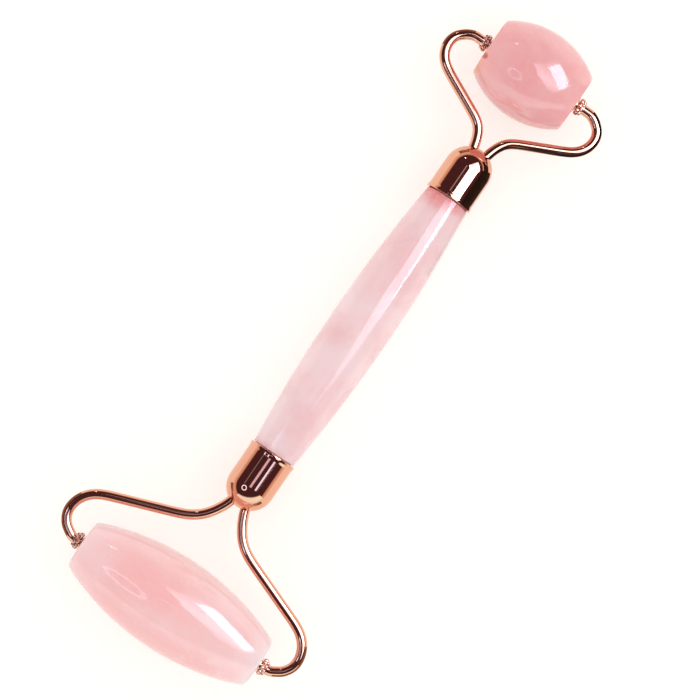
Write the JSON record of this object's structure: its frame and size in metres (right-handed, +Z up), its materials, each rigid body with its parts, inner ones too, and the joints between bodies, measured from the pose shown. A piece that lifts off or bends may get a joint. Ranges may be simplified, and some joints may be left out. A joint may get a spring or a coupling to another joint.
{
  "type": "face roller",
  "caption": "Double-ended massage roller: stone handle with a bent-wire fork at each end, one carrying a long and one a short free-turning stone roller.",
  "frame": {"origin": "under the middle of the object, on the surface that the two rollers rest on", "axes": "+Y along the handle from the long roller to the short one, +X along both roller axes, +Z up from the surface"},
  "size_m": [0.0558, 0.1448, 0.0188],
  "materials": {
    "handle_quartz": "polished pale pink quartz, milky and translucent",
    "large_roller_quartz": "polished pink quartz with a coral core and paler ends",
    "small_roller_quartz": "polished deeper pink quartz",
    "rose_gold_cap": "mirror-polished rose gold plating",
    "rose_gold_wire": "mirror-polished rose gold plated wire",
    "rose_gold_bead": "polished rose gold plating",
    "bush_metal": "turned brass, satin",
    "sleeve_metal": "drawn brass tube, plain"
  },
  "bodies": {
    "handle": {"handle_stone": "handle_quartz", "large_end_cap": "rose_gold_cap", "small_end_cap": "rose_gold_cap", "large_stem_sleeve": "sleeve_metal", "small_stem_sleeve": "sleeve_metal", "large_fork_left_wire": "rose_gold_wire", "large_fork_right_wire": "rose_gold_wire", "small_fork_left_wire": "rose_gold_wire", "small_fork_right_wire": "rose_gold_wire", "large_left_bead": "rose_gold_bead", "large_right_bead": "rose_gold_bead", "small_left_bead": "rose_gold_bead", "small_right_bead": "rose_gold_bead"},
    "large_roller": {"large_roller_stone": "large_roller_quartz", "large_left_bush": "bush_metal", "large_right_bush": "bush_metal"},
    "small_roller": {"small_roller_stone": "small_roller_quartz", "small_left_bush": "bush_metal", "small_right_bush": "bush_metal"}
  },
  "joints": [
    {"name": "large_roller_spin", "type": "hinge", "parent": "handle", "child": "large_roller", "pos_m": [0, -0.063, 0.00942], "axis": [1, 0, 0], "continuous": true},
    {"name": "small_roller_spin", "type": "hinge", "parent": "handle", "child": "small_roller", "pos_m": [0, 0.063, 0.00942], "axis": [1, 0, 0], "continuous": true}
  ]
}
